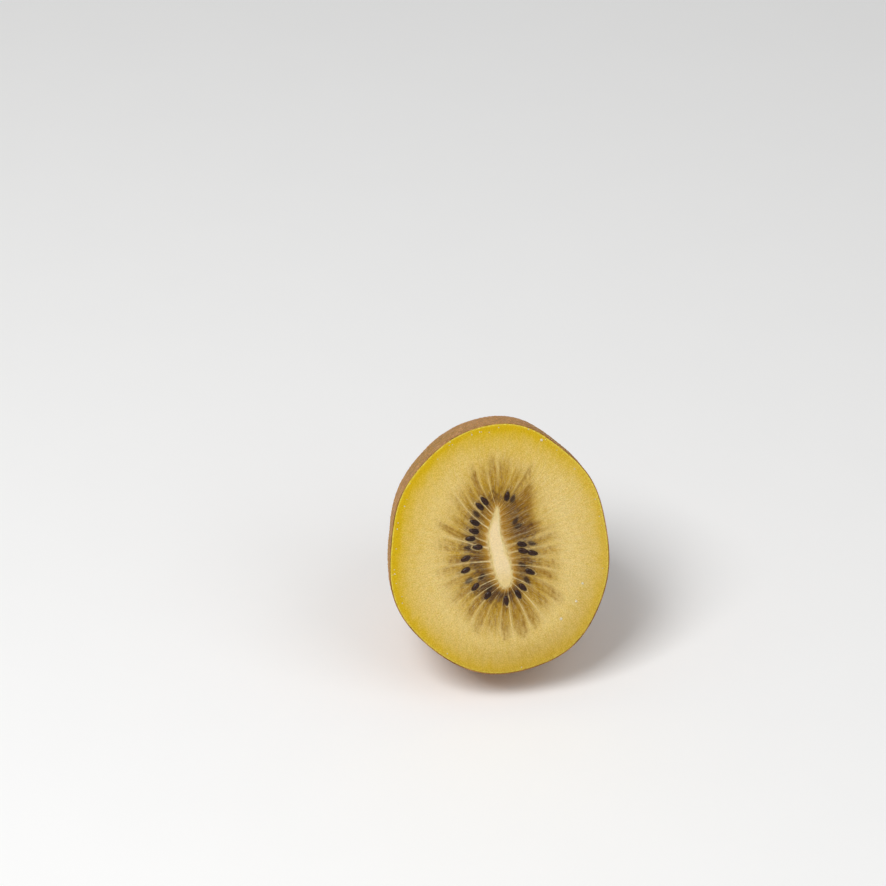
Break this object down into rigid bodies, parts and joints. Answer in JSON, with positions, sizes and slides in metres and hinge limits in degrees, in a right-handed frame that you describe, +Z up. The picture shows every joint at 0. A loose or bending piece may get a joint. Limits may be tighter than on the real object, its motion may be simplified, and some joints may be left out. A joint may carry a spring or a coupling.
{
  "type": "golden kiwi fruit",
  "caption": "Crosswise-cut half of a golden kiwi fruit with thin brown skin, golden flesh, pale core and a ring of dark seeds, leaning back on its rounded side.",
  "frame": {"origin": "centre of the small flat spot that the half rests on", "axes": "+Z up from the surface it rests on, +Y from the cut face towards the stem end, +X to the right for someone who looks at the cut face"},
  "size_m": [0.0468, 0.0471, 0.0568],
  "materials": {
    "skin": "dry thin skin, tan and gold with fine raised orange-brown dots and a very short soft fuzz",
    "flesh": "wet translucent golden fruit flesh, olive-gold in the ring of locules",
    "core": "moist pale cream core with fine fibres",
    "seed": "shiny near-black brown seeds under a film of juice"
  },
  "bodies": {
    "root": {"skin": "skin", "flesh": "flesh", "core": "core"}
  },
  "joints": []
}
